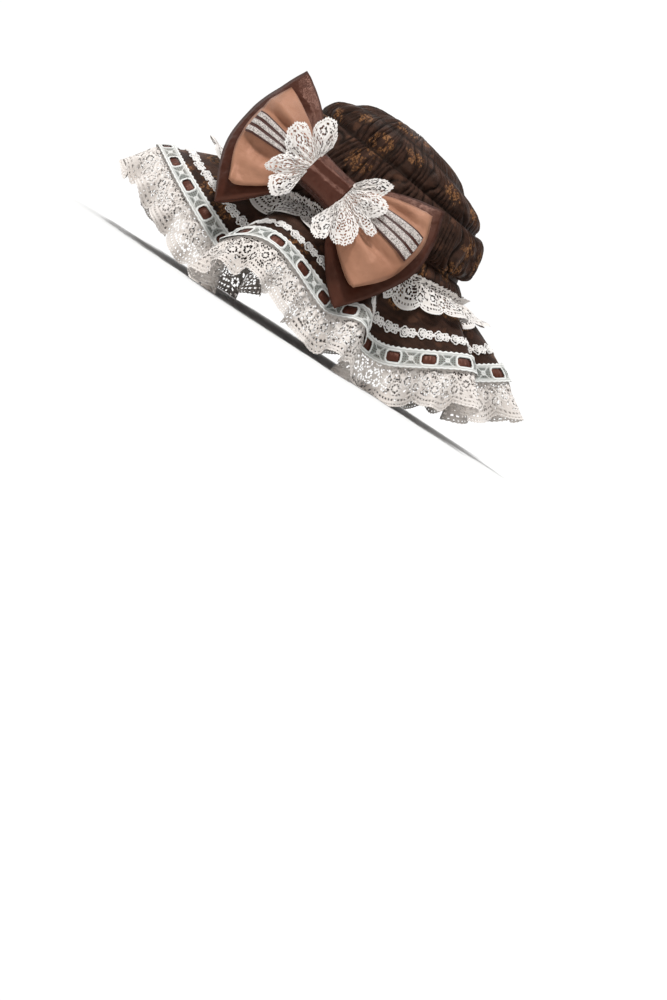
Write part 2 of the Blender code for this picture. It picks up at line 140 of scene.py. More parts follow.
BAND_FRONT = (-0.38, -0.01)
BAND_BACK = (-0.12, 0.51)


def cubic(a, b, c, d, f):
    """A smooth curve at shares f of the way from b to c, with a before them and d after them."""
    bend = 2 * a - 5 * b + 4 * c - d + f * (3 * (b - c) + d - a)
    return b + 0.5 * f * (c - a + f * bend)


def closed_spline(values, samples):
    """A smooth closed curve through rows of values, evenly sampled between rows."""
    values = np.asarray(values, float)
    count = len(values)
    at = np.arange(samples) * count / samples
    k = at.astype(int)
    f = (at - k).reshape(-1, *([1] * (values.ndim - 1)))
    return cubic(*(values[(k + j) % count] for j in (-1, 0, 1, 2)), f)


def open_spline(values, at):
    """A smooth curve through rows of values, read at places counted in rows."""
    values = np.asarray(values, float)
    last = len(values) - 1
    k = np.clip(np.floor(at).astype(int), 0, last - 1)
    f = (at - k).reshape(-1, *([1] * (values.ndim - 1)))
    b, c = values[k], values[k + 1]
    a = np.where((k == 0).reshape(f.shape), 2 * b - c, values[np.maximum(k - 1, 0)])
    d = np.where((k == last - 1).reshape(f.shape), 2 * c - b, values[np.minimum(k + 2, last)])
    return cubic(a, b, c, d, f)


def ripple(count, at, seed):
    """A smooth closed curve of random heights from -1 to 1, read at shares of the way round."""
    heights = np.random.default_rng(seed).uniform(-1, 1, count)
    fine = closed_spline(heights, count * 16)
    where = (np.asarray(at) % 1.0) * len(fine)
    k = where.astype(int) % len(fine)
    f = where - np.floor(where)
    return fine[k] * (1 - f) + fine[(k + 1) % len(fine)] * f


def unit(values):
    """Directions of length 1."""
    return values / np.linalg.norm(values, axis=-1, keepdims=True)


def lengths(line):
    """Distances along a line of points, from its start."""
    return np.concatenate([[0.0], np.cumsum(np.linalg.norm(np.diff(line, axis=0), axis=1))])


def near_zero(value, width):
    """A smooth ridge that is 1 where the value is 0."""
    return np.exp(-((value / width) ** 2))


# The brim's surface, finely sampled: a row for each half millimetre, a column for each place.
FIELD_COLUMNS = 2400
FIELD_STEP = 0.5
CURVE_POINTS = 61
FOOT_EVENED = 0.055


def brim_field():
    """The brim's points from its foot to its trim's edge, and the length of that edge in mm."""
    rows = np.array([(w.turn, w.reach, w.height) for w in WAVES], float)
    rows[:, 0] -= np.arange(len(rows)) * 360.0 / len(rows) - 90.0
    curve = closed_spline(rows, FIELD_COLUMNS)
    turn = curve[:, 0] + np.arange(FIELD_COLUMNS) * 360.0 / FIELD_COLUMNS - 90.0
    reach, height = curve[:, 1], curve[:, 2]
    a = np.radians(turn)
    edge = np.stack(
        [(FOOT_HALF_WIDTH + reach) * np.cos(a), (FOOT_HALF_LENGTH + reach) * np.sin(a), height], 1
    )
    loop = np.vstack([edge, edge[:1]])
    along = lengths(loop)
    where = along[:-1] / along[-1]
    laps = np.round(where[None] - where[:, None])
    near = np.clip(1.0 - np.abs(where[None] - where[:, None] - laps) / FOOT_EVENED, 0.0, None)
    foot = (near * (turn[None] - 360.0 * laps)).sum(1) / near.sum(1)
    places = np.arange(FIELD_COLUMNS) / FIELD_COLUMNS * along[-1]
    end = np.stack([np.interp(places, along, loop[:, k]) for k in range(3)], 1)
    angle = np.radians(np.interp(places, along, np.append(foot, foot[0] + 360.0)))
    far = np.interp(places, along, np.append(reach, reach[0]))[:, None]
    x, y = np.cos(angle), np.sin(angle)
    high = np.full_like(x, BASE_HEIGHT)
    inner = np.stack([BASE_HALF_WIDTH * x, BASE_HALF_LENGTH * y, high], 1)
    away = unit(np.stack([x / BASE_HALF_WIDTH, y / BASE_HALF_LENGTH, 0 * x], 1))
    bend = inner + away * 0.5 * far
    bend[:, 2] -= BRIM_BEND * (BASE_HEIGHT - end[:, 2])
    f = np.linspace(0.0, 1.0, CURVE_POINTS)[:, None, None]
    line = (1 - f) ** 2 * inner + 2 * f * (1 - f) * bend + f**2 * end
    run = np.zeros(line.shape[:2])
    run[1:] = np.cumsum(np.linalg.norm(np.diff(line, axis=0), axis=2), axis=0)
    rows = np.arange(0.0, TRIM_EDGE + 0.01, FIELD_STEP)
    field = np.zeros((len(rows), FIELD_COLUMNS, 3))
    for c in range(FIELD_COLUMNS):
        want = run[-1, c] * rows / TRIM_EDGE
        for k in range(3):
            field[:, c, k] = np.interp(want, run[:, c], line[:, c, k])
    return field, along[-1]


def grid_normals(grid, wraps=True):
    """Unit normals of a grid of points, from its neighbours."""
    if wraps:
        side = np.roll(grid, -1, 1) - np.roll(grid, 1, 1)
    else:
        side = np.gradient(grid, axis=1)
    down = np.gradient(grid, axis=0)
    normals = np.cross(down, side)
    return normals / np.maximum(np.linalg.norm(normals, axis=2, keepdims=True), 1e-9)


field, trim_length = brim_field()
field_normal = grid_normals(field)
if field_normal[4, :, 2].mean() < 0:
    field_normal = -field_normal


def on_brim(place, distance, lift=0.0):
    """Points over the brim, at shares of the way round and distances from its foot in mm."""
    place, distance = np.broadcast_arrays(np.asarray(place, float), np.asarray(distance, float))
    c = (place % 1.0) * FIELD_COLUMNS
    r = np.clip(distance / FIELD_STEP, 0, len(field) - 1.001)
    c0, r0 = np.floor(c).astype(int), np.floor(r).astype(int)
    g, f = (c - c0)[..., None], (r - r0)[..., None]
    c0 %= FIELD_COLUMNS
    c1 = (c0 + 1) % FIELD_COLUMNS
    found = []
    for values in (field, field_normal):
        near = values[r0, c0] * (1 - g) + values[r0, c1] * g
        far = values[r0 + 1, c0] * (1 - g) + values[r0 + 1, c1] * g
        found.append(near * (1 - f) + far * f)
    point, up = found
    return point + up * np.asarray(lift, float)[..., None], up


def piece(name, grid, flat, material, node, keep=None, wraps=True, caps=False, values=None):
    """A mesh from a grid of points with a map coordinate at each, and without the cells not kept."""
    rows, columns = grid.shape[:2]
    wide = columns if wraps else columns - 1
    r, c = np.meshgrid(np.arange(rows - 1), np.arange(wide), indexing="ij")
    d = (c + 1) % columns
    quads = np.stack([r * columns + c, r * columns + d, (r + 1) * columns + d, (r + 1) * columns + c], 2)
    edge = np.concatenate([flat, 2 * flat[:, -1:] - flat[:, -2:-1]], 1)
    corner = np.stack([edge[r, c], edge[r, c + 1], edge[r + 1, c + 1], edge[r + 1, c]], 2)
    if keep is not None:
        quads, corner = quads[keep], corner[keep]
    quads, corner = quads.reshape(-1, 4), corner.reshape(-1, 2)
    if caps:
        for ring in (np.arange(columns)[::-1], np.arange(columns) + (rows - 1) * columns):
            extra = cap_quads(ring)
            quads = np.vstack([quads, extra])
            corner = np.vstack([corner, np.zeros((extra.size, 2))])
    used, faces = np.unique(quads, return_inverse=True)
    points = (grid.reshape(-1, 3)[used] - MIDDLE) * MM
    made = mesh_piece(name, points, faces.reshape(-1, 4), corner, material, node)
    for key, value in (values or {}).items():
        paint(made, key, value.reshape(-1)[used])
    return made


def mesh_piece(name, points, faces, corner, material, node):
    """A smooth mesh piece that rides on the hat. corner holds a map coordinate for each corner."""
    mesh = bpy.data.meshes.new(name)
    size = faces.shape[1]
    mesh.vertices.add(len(points))
    mesh.vertices.foreach_set("co", np.ascontiguousarray(points, np.float32).ravel())
    mesh.loops.add(faces.size)
    mesh.loops.foreach_set("vertex_index", faces.astype(np.int32).ravel())
    mesh.polygons.add(len(faces))
    mesh.polygons.foreach_set("loop_start", np.arange(0, faces.size, size, dtype=np.int32))
    mesh.polygons.foreach_set("use_smooth", np.ones(len(faces), bool))
    layer = mesh.uv_layers.new(name="cloth")
    layer.data.foreach_set("uv", np.ascontiguousarray(corner, np.float32).ravel())
    mesh.update(calc_edges=True)
    mesh.validate()
    made = bpy.data.objects.new(name, mesh)
    bpy.context.scene.collection.objects.link(made)
    mesh.materials.append(material)
    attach(made, "root")
    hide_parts(node)
    return made


def thicken(made, thickness, offset=0.0):
    """The wall of a piece of cloth, in mm."""
    wall = made.modifiers.new("wall", "SOLIDIFY")
    wall.thickness = thickness * MM
    wall.offset = offset


def map_of(along, across):
    """Map coordinates in metres, from lengths along and across the cloth in mm."""
    along, across = np.broadcast_arrays(along, across)
    return np.stack([along, across], 2) * MM


def cap_quads(ring):
    """Quads that close a small ring of an even number of points."""
    count = len(ring)
    k = np.arange(count // 2 - 1)
    return np.stack([ring[k], ring[k + 1], ring[count - 2 - k], ring[count - 1 - k]], 1)


def paint(made, name, values):
    """A value for each point of a mesh, that its material reads."""
    layer = made.data.attributes.new(name, "FLOAT", "POINT")
    layer.data.foreach_set("value", np.ascontiguousarray(values, np.float32).ravel())


# Materials.


class Shader:
    """The nodes of a material or a world, with short calls for the ones that are used most."""

    def __init__(self, name, kind=bpy.data.materials):
        self.made = kind.new(name)
        self.made.use_nodes = True
        self.nodes = self.made.node_tree.nodes
        self.links = self.made.node_tree.links
        self.surface = self.nodes.get("Principled BSDF")

    def put(self, value, socket):
        if isinstance(value, bpy.types.NodeSocket):
            self.links.new(value, socket)
        elif isinstance(value, tuple) and len(value) == 3 and socket.type == "RGBA":
            socket.default_value = (*value, 1.0)
        else:
            socket.default_value = value

    def node(self, kind, inputs=(), output=0, **settings):
        made = self.nodes.new("ShaderNode" + kind)
        for key, value in settings.items():
            setattr(made, key, value)
        for key, value in dict(inputs).items():
            self.put(value, made.inputs[key])
        return made.outputs[output]

    def math(self, kind, a, b):
        return self.node("Math", {0: a, 1: b}, operation=kind)

    def mix(self, share, a, b):
        return self.node("Mix", {0: share, 6: a, 7: b}, output=2, data_type="RGBA")

    def ramp(self, value, low, high):
        """Turns low to 0 and high to 1, smoothly."""
        inputs = {"Value": value, "From Min": low, "From Max": high}
        return self.node("MapRange", inputs, interpolation_type="SMOOTHSTEP")

    def noise(self, where, scale, detail, rough=0.5):
        inputs = {"Vector": where, "Scale": scale, "Detail": detail, "Roughness": rough}
        return self.node("TexNoise", inputs)

    def cells(self, where, scale, output="Distance"):
        return self.node("TexVoronoi", {"Vector": where, "Scale": scale}, output=output)

    def stretch(self, where, scale):
        return self.node("VectorMath", {0: where, 1: scale}, operation="MULTIPLY")

    def space(self):
        return self.node("TexCoord", output="Object")

    def cloth(self):
        return self.node("UVMap", uv_map="cloth")

    def value(self, name):
        return self.node("Attribute", output="Fac", attribute_name=name)

    def bump(self, height, depth, strength=1.0):
        inputs = {"Height": height, "Distance": depth, "Strength": strength}
        self.put(self.node("Bump", inputs), self.surface.inputs["Normal"])

    def finish(self, colour, rough, **more):
        self.put(colour, self.surface.inputs["Base Color"])
        self.put(rough, self.surface.inputs["Roughness"])
        for key, value in more.items():
            self.put(value, self.surface.inputs[key.replace("_", " ")])
        return self.made


def jacquard():
    """Dark brown taffeta with woven sprays of copper leaves, with painted shade in its creases and a
    painted highlight on its ridges.

    The value fold is 1 in a crease, where the painted shade is nearly black, and -1 on a ridge, where the
    painted highlight is lighter brown."""
    s = Shader("jacquard")
    where = s.space()
    warm = s.noise(s.stretch(where, (1.0, 1.0, 3.0)), 70.0, 4.0, 0.6)
    ground = s.mix(s.ramp(warm, 0.3, 0.72), (0.014, 0.0062, 0.0042), (0.05, 0.0225, 0.0145))
    drift = s.node("TexNoise", {"Vector": where, "Scale": 90.0}, output="Color")
    bent = s.node("VectorMath", {0: where, 1: s.stretch(drift, (0.007, 0.007, 0.007))}, operation="ADD")
    spray = s.ramp(s.cells(bent, 31.0), 0.4, 0.3)
    leaf = s.ramp(s.cells(s.stretch(bent, (1.0, 1.5, 0.8)), 230.0), 0.62, 0.45)
    vein = s.ramp(s.noise(where, 700.0, 2.0), 0.4, 0.62)
    copper = s.mix(vein, (0.05, 0.021, 0.0095), (0.25, 0.115, 0.046))
    colour = s.mix(s.math("MULTIPLY", spray, leaf), ground, copper)
    faint = s.ramp(s.cells(bent, 70.0), 0.32, 0.2)
    colour = s.mix(s.math("MULTIPLY", faint, 0.3), colour, (0.14, 0.06, 0.033))
    # Painted highlight on the ridges (lighter brown) and painted shade in the creases (nearly black),
    # both set by the value fold.
    crease = s.value("fold")
    colour = s.mix(s.math("MULTIPLY", s.ramp(crease, 0.0, -1.0), 0.45), colour, (0.15, 0.077, 0.053))
    colour = s.mix(s.math("MULTIPLY", s.ramp(crease, 0.0, 0.9), 0.92), colour, (0.004, 0.0018, 0.0012))
    weave = s.node("TexWave", {"Vector": where, "Scale": 700.0, "Distortion": 1.0}, bands_direction="Z")
    s.bump(s.math("ADD", weave, s.math("MULTIPLY", leaf, spray)), 0.00012)
    rough = s.math("ADD", s.math("MULTIPLY", warm, 0.2), 0.42)
    return s.finish(colour, rough, Specular_IOR_Level=0.2, Specular_Tint=(1.0, 0.7, 0.55))


def satin(name, deep, light, rough, shine=0.4):
    """Satin, with fine lines of its weave along it and a soft unevenness."""
    s = Shader(name)
    inputs = {"Vector": s.cloth(), "Scale": 900.0, "Distortion": 0.6}
    lines = s.node("TexWave", inputs, bands_direction="Y")
    cloud = s.noise(s.space(), 30.0, 2.0)
    colour = s.mix(s.ramp(cloud, 0.3, 0.7), deep, light)
    soft = s.math("MULTIPLY", s.noise(s.space(), 110.0, 1.5), 12.0)
    s.bump(s.math("ADD", s.math("MULTIPLY", lines, 0.25), soft), 0.00012)
    return s.finish(colour, rough, Specular_IOR_Level=shine, Specular_Tint=(1.0, 0.55, 0.42))


def lace(name, white, net):
    """Cotton lace. The value gimp is 1 on its thick threads and 0 on its net."""
    s = Shader(name)
    thread = s.noise(s.cloth(), 1500.0, 2.0, 0.7)
    soft = s.noise(s.space(), 60.0, 2.0)
    colour = s.mix(s.value("gimp"), net, white)
    colour = s.mix(s.math("MULTIPLY", s.ramp(thread, 0.35, 0.75), 0.22), colour, (0.55, 0.5, 0.45))
    colour = s.mix(s.math("MULTIPLY", s.ramp(soft, 0.45, 0.7), 0.12), colour, (0.75, 0.64, 0.55))
    s.bump(thread, 0.0003, 0.6)
    return s.finish(colour, 0.85, Sheen_Weight=0.25)


def glitter():
    """White glitter stripes on a dark ribbon. The value stripe is 1 on a stripe."""
    s = Shader("glitter")
    where = s.cloth()
    flake = s.cells(where, 1700.0, output="Color")
    shade = s.node("SeparateColor", {0: flake})
    sparkle = s.mix(s.ramp(shade, 0.05, 0.75), (0.16, 0.135, 0.12), (0.6, 0.545, 0.51))
    on = s.ramp(s.value("stripe"), 0.35, 0.65)
    colour = s.mix(on, (0.05, 0.014, 0.009), sparkle)
    s.bump(s.math("MULTIPLY", shade, on), 0.0002, 0.7)
    rough = s.math("ADD", s.math("MULTIPLY", shade, 0.3), 0.35)
    return s.finish(colour, rough, Specular_IOR_Level=0.35)


JACQUARD = jacquard()
DARK_SATIN = satin("dark_satin", (0.036, 0.0105, 0.006), (0.06, 0.0185, 0.011), 0.3, 0.5)
# The knot's satin is a copy of the dark satin with a slightly darker base: painted shade, set for how the
# lights fall full on the knot.
KNOT_SATIN = satin("knot_satin", (0.034, 0.009, 0.0055), (0.052, 0.0155, 0.01), 0.27, 0.6)
RIBBON_SATIN = satin("ribbon_satin", (0.055, 0.017, 0.011), (0.09, 0.03, 0.02), 0.36)
TAN_SATIN = satin("tan_satin", (0.29, 0.135, 0.08), (0.37, 0.185, 0.115), 0.38)
CREAM_LACE = lace("cream_lace", (0.82, 0.775, 0.735), (0.56, 0.5, 0.455))
WHITE_LACE = lace("white_lace", (0.88, 0.855, 0.83), (0.6, 0.55, 0.51))
LADDER_LACE = lace("ladder_lace", (0.86, 0.865, 0.84), (0.17, 0.185, 0.17))
GLITTER = glitter()


# The crown.
CROWN_COLUMNS = 720
GATHERS = 88
CROWN_SAMPLES = (7, 7, 9, 12, 11, 8, 9, 9, 7, 8, 9)
CROWN_INSIDE = 3.6
CROWN_ROUND = 700.0
SEAM_RINGS = (0, 6, 8, 11)
SEAM_DEPTHS = (2.0, 2.0, 0.7, 0.5)
TIERS = ((0, 2), (2, 6), (6, 8), (8, 11))


def crown_points(at, turn):
    """The crown's smooth form at places counted in rings, with a cusp at each row of shirring."""
    rings = np.array([r[1:] for r in RINGS], float)
    values = np.zeros((len(at), rings.shape[1]))
    for low, high in TIERS:
        here = (at >= low) & (at <= high)
        values[here] = open_spline(rings[low : high + 1], at[here] - low)
    front, back, half_width, z_front, z_side, z_back, flute = (v[:, None] for v in values.T)
    x, y = np.cos(turn)[None], np.sin(turn)[None]
    level = z_side + (z_back - z_front) / 2 * y + ((z_back + z_front) / 2 - z_side) * y * y
    points = np.stack([half_width * x, (front + back) / 2 + (back - front) / 2 * y, level + 0 * x], 2)
    return points, flute


def crown_gathers(at, share):
    """How high the gathers are, from about -1 in a crease to 1 on a ridge."""
    lean = np.zeros((len(at), len(share)))
    strong = np.zeros_like(lean)
    for k, (low, high) in enumerate(TIERS):
        middle = (low + high) / 2
        near = np.clip(1.2 - np.abs(at - middle) / (high - low), 0.0, 1.0)[:, None]
        lean += near * (1.1 * ripple(34, share, 20 + k) + 0.5 * ripple(90, share, 25 + k))[None]
        drift = share[None] + 0.004 * np.sin(at[:, None] * 2.3 + k)
        strong += near * ripple(74, drift, 30 + k)
    wander = 0.3 * np.sin(at[:, None] * 1.7 + 9 * share[None] * math.tau)
    phase = math.pi * (GATHERS * share[None] + lean + wander)
    height = 2 * np.abs(np.sin(phase)) ** 0.6 - 1.2
    height = np.where(height < 0, height * (1.0 + 0.7 * strong), height * (1 + 0.3 * strong))
    fine = np.abs(np.sin(2.37 * phase + 2 * at[:, None])) - 0.6
    crush = np.sin(9.0 * at[:, None] + 5.0 * ripple(40, share, 41)[None]) * ripple(60, share, 42)[None]
    return height + 0.42 * fine + 0.12 * crush


def crown():
    """The gathered crown: its outside with every gather, and a plainer inside."""
    share = np.arange(CROWN_COLUMNS) / CROWN_COLUMNS
    turn = share * math.tau
    steps = [np.arange(n) / n + k for k, n in enumerate(CROWN_SAMPLES)]
    at = np.append(np.concatenate(steps), len(RINGS) - 1.0)[::-1]
    base, flute = crown_points(at, turn)
    up = grid_normals(base)
    up[0] = (0.0, 0.0, 1.0)
    if up[len(up) // 2, 0, 0] < 0:
        up = -up
    off_row = np.min([np.abs(at - r) for r in SHIRRING_ROWS], axis=0)[:, None]
    dent = np.interp(at, SEAM_RINGS, SEAM_DEPTHS)[:, None] * near_zero(off_row, 0.2)
    lumps = sum(np.cos(k + at)[:, None] * ripple(12 + 3 * k, share, 50 + k)[None] for k in range(3))
    deep = np.clip(flute, 0.45, None)
    gathers = crown_gathers(at, share)
    drop = 1.15 * deep * (gathers - 0.15) + 0.6 * lumps * np.clip(flute, 0, 1) - dent
    outer = base + up * drop[..., None]
    # The value fold for the jacquard: painted shade in each crease and along each row of shirring, and a
    # painted highlight on each ridge.
    fold = np.clip(-gathers * 1.7, -1.0, 1.0) * np.clip(flute, 0.8, 1.0)
    fold = np.maximum(fold, 0.9 * near_zero(off_row, 0.12))
    inner = (base - up * CROWN_INSIDE)[::5][::-1]
    inner[0, :, 2] = outer[-1, :, 2]
    grid = np.concatenate([outer, inner])
    flat = map_of(share[None] * CROWN_ROUND, lengths(grid[:, 0])[:, None])
    values = {"fold": np.concatenate([fold, np.zeros(inner.shape[:2])])}
    made = piece("crown_cloth", grid, flat, JACQUARD, "crown", caps=True, values=values)


# The brim.
BRIM_COLUMNS = 960
BRIM_TOP_ROWS = 42
BRIM_UNDER_ROWS = 12
BRIM_GATHERS = 110


def brim():
    """The fluted brim, with small gathers where it is sewn to the crown."""
    share = np.arange(BRIM_COLUMNS) / BRIM_COLUMNS
    top = np.linspace(0.0, 1.0, BRIM_TOP_ROWS) ** 1.1 * BRIM_END
    under = np.linspace(1.0, 0.0, BRIM_UNDER_ROWS) * BRIM_END
    lean = 0.8 * ripple(70, share, 61)
    fade = np.exp(-top / 11.0)[:, None]
    long_fade = np.clip(1 - top / 40.0, 0, 1)[:, None]
    small = np.abs(np.sin(math.pi * (BRIM_GATHERS * share + lean)))[None]
    wide = ripple(66, share, 62)[None]
    lift = CLOTH / 2 + fade * (1.6 * small - 0.4) + long_fade * 0.5 * wide
    lift[0] = CLOTH / 2
    over, _ = on_brim(share[None], top[:, None], lift)
    below, _ = on_brim(share[None], under[:, None], -CLOTH / 2)
    grid = np.concatenate([over, below, over[:1]])
    run = np.concatenate([top, BRIM_END * 2 - under, [BRIM_END * 2]])
    flat = map_of(share[None] * trim_length, run[:, None])
    made = piece("brim_cloth", grid, flat, JACQUARD, "brim")


# Lace patterns. A pattern's cells are kept or cut, and it gives how raised its threads are.
HOLE = 0.95
THREAD_RELIEF = 0.5
ARC_PITCH = 3.0
NET_PITCH = 2.6


def lace_pattern(u, v, hem, period, flowers, arcs, mesh_from):
    """Which cells stay and how raised the threads are. u runs along the lace, v from its header and
    hem from its edge. Each flower is its share of the period, its v and its number of holes, and
    each arc of holes is its distance from the edge and the size of its holes."""
    cut = np.zeros(u.shape, bool)
    solid = np.zeros(u.shape, bool)
    raised = [near_zero(hem - 0.5, 0.7), 0.9 * near_zero(hem - 3.1, 0.5)]
    for share, at_v, holes in flowers:
        du = (u - share * period + period / 2) % period - period / 2
        dv = v - at_v
        far = np.hypot(du, dv)
        radius = 0.36 * holes
        solid |= far < radius + 2.2
        raised += [near_zero(far - radius - 1.7, 0.6), near_zero(far, 1.4)]
        for k in range(holes):
            a = math.tau * k / holes
            cut |= np.hypot(du - radius * math.cos(a), dv - radius * math.sin(a)) < HOLE
    for distance, size in arcs:
        du = (u + distance * 0.5) % ARC_PITCH - ARC_PITCH / 2
        cut |= (np.hypot(du, hem - distance) < size) & ~solid
        raised.append(0.8 * near_zero(hem - distance - 1.6, 0.45))
    ring = max(distance for distance, _ in arcs) + 2.4
    across = np.floor(hem / NET_PITCH)
    along = np.floor(u / NET_PITCH + 0.5 * (across % 2))
    chance = np.sin(along * 12.9898 + across * 78.233) * 43758.5453 % 1.0
    du = (u / NET_PITCH + 0.5 * (across % 2)) % 1.0 - 0.5 + 0.14 * (chance - 0.5)
    dv = hem / NET_PITCH % 1.0 - 0.5
    size = np.where(chance < 0.25, 0.0, HOLE * (0.85 + 0.35 * chance))
    stem_at = mesh_from + 5.0 + 3.0 * np.sin(math.tau * u / period * 2)
    stem = np.abs(v - stem_at) < 0.9
    inside = (v > mesh_from) & (hem > ring) & ~solid & ~stem
    cut |= inside & (np.hypot(du, dv) * NET_PITCH < size)
    cut &= (hem > 2.6) & (v > 1.0)
    cut |= (hem > 1.5) & (hem < 2.2) & ((u % 2.4) < 0.8)
    raised += [0.8 * stem, np.where(solid, 0.7, 0.35)]
    return ~cut, np.maximum.reduce(raised)


def lace_piece(name, grid, u, v, hem, pattern, material, node, wraps=True):
    """Lace from a grid, with its pattern cut as cells and its threads raised."""
    _, gimp = lace_pattern(u, v, hem, **pattern)
    up = grid_normals(grid, wraps)
    grid = grid + up * (THREAD_RELIEF * (gimp - 0.5))[..., None]
    middle_u = (u[:-1] + u[1:]) / 2 + (u[0, 1] - u[0, 0]) / 2
    middle_v = (v[:-1] + v[1:]) / 2
    middle_hem = (hem[:-1] + hem[1:]) / 2
    keep, _ = lace_pattern(middle_u, middle_v, middle_hem, **pattern)
    keep = keep if wraps else keep[:, :-1]
    made = piece(name, grid, map_of(u, v), material, node, keep=keep, wraps=wraps, values={"gimp": gimp})
    return made


EDGE_PERIOD = 38.0
EDGE_CELLS = 50
EDGE_ROWS = 46
EDGE_PATTERN = dict(
    period=EDGE_PERIOD,
    flowers=((0.25, 13.0, 8), (0.75, 13.0, 8), (0.5, 20.0, 9), (0.0, 17.0, 7)),
    arcs=((5.0, 0.8),),
    mesh_from=3.2,
)
EDGE_SEWN_AT = 68.3
EDGE_SEWN = 2.7
EDGE_SEAT = 1.65
EDGE_NECK = 9.0
EDGE_LONG = 31.5
EDGE_SCALLOP = 8.0
FLOOR_GAP = 0.4


def settle(grid, floor):
    """Turns what would hang below the floor out along it, as soft lace lies where it rests."""
    below = np.clip(floor - grid[..., 2], 0.0, None)
    away = unit(grid[..., :2])
    grid[..., :2] += away * (below * 0.8)[..., None]
    grid[..., 2] = np.maximum(grid[..., 2], floor)
    return grid


def edge_lace():
    """The wide lace that is sewn on at the brim's edge and hangs from it in ruffles."""
    columns = EYELETS * EDGE_CELLS
    share = np.arange(columns) / columns
    start, up = on_brim(share, EDGE_SEWN_AT)
    above, _ = on_brim(share, BEADING_FROM)
    end, _ = on_brim(share, TRIM_EDGE)
    fall = unit(end - above)
    back = np.clip(unit(end[:, :2])[:, 1], 0.0, None) ** 4
    weight = 0.45 * (1.0 - 0.7 * back)[:, None]
    hang = unit((1 - weight) * fall + np.array([0.0, 0.0, -1.0]) * weight)
    p = share * EYELETS
    swell = 1 + 0.3 * ripple(EYELETS, share, 71)
    turned = math.tau * (p + 0.1 * ripple(30, share, 72))
    wave = ((np.sin(turned - 0.8) + 0.22 * np.sin(2 * turned + 0.7)) * swell)[:, None]
    scallop = (np.abs(np.sin(math.pi * p)) ** 0.83)[:, None]
    neck = end + up * (EDGE_SEAT - CLOTH + 1.5 * wave) + (0.6 * fall + 0.4 * hang) * EDGE_NECK
    below = EDGE_LONG - EDGE_NECK - EDGE_SCALLOP * (1 - scallop)
    hem_at = neck + hang * below + up * (5.8 * wave - 1.0)
    length = EDGE_SEWN + EDGE_LONG - EDGE_SCALLOP * (1 - scallop[:, 0])
    t = np.linspace(0.0, 1.0, EDGE_ROWS)[:, None]
    v = t * length[None]
    first = EDGE_SEWN + EDGE_NECK
    at = np.where(v < first, v / first, 1 + (v - first) / (length[None] - first))
    three = np.stack([start + up * EDGE_SEAT, neck, hem_at])
    grid = np.zeros((EDGE_ROWS, columns, 3))
    for c in range(columns):
        grid[:, c] = open_spline(three[:, c], at[:, c])
    pleat = np.sin(math.tau * (p * 4.5 + 0.8 * ripple(90, share, 73)))[None]
    grid += up[None] * (0.9 * np.sin(math.pi * t**0.6) * pleat * np.exp(-1.2 * t))[..., None]
    picot = 0.35 * np.where(np.arange(columns) % 3 == 0, 1.0, -0.5)
    grid[-1] += hang * picot[:, None]
    u = np.broadcast_to(share * EYELETS * EDGE_PERIOD, v.shape)
    hem = length[None] - v
    grid = settle(grid, FLOOR_GAP)
    made = lace_piece("edge_lace_ruffle", grid, u, v, hem, EDGE_PATTERN, CREAM_LACE, "edge_lace")


CROWN_SCALLOPS = 30
CROWN_PERIOD = 30.0
CROWN_CELLS = 34
CROWN_LACE_ROWS = 34
CROWN_HEADER = 6.0
CROWN_LACE_FROM = 5.0
CROWN_LACE_HEM = 22.5
CROWN_LACE_SCALLOP = 7.0
CROWN_LACE_SEAT = 1.9
CROWN_PATTERN = dict(
    period=CROWN_PERIOD, flowers=((0.5, 17.5, 8), (0.0, 15.5, 7)), arcs=((4.6, 0.85),), mesh_from=1.6
)


def pressed(turn):
    """How much the bow leaves of a ruffle's lift, from 0 under it to 1 away from it."""
    turn = (turn + 180.0) % 360.0 - 180.0
    off = np.abs(turn + 17.0) - 45.0
    return np.clip(off / 14.0, 0.0, 1.0)


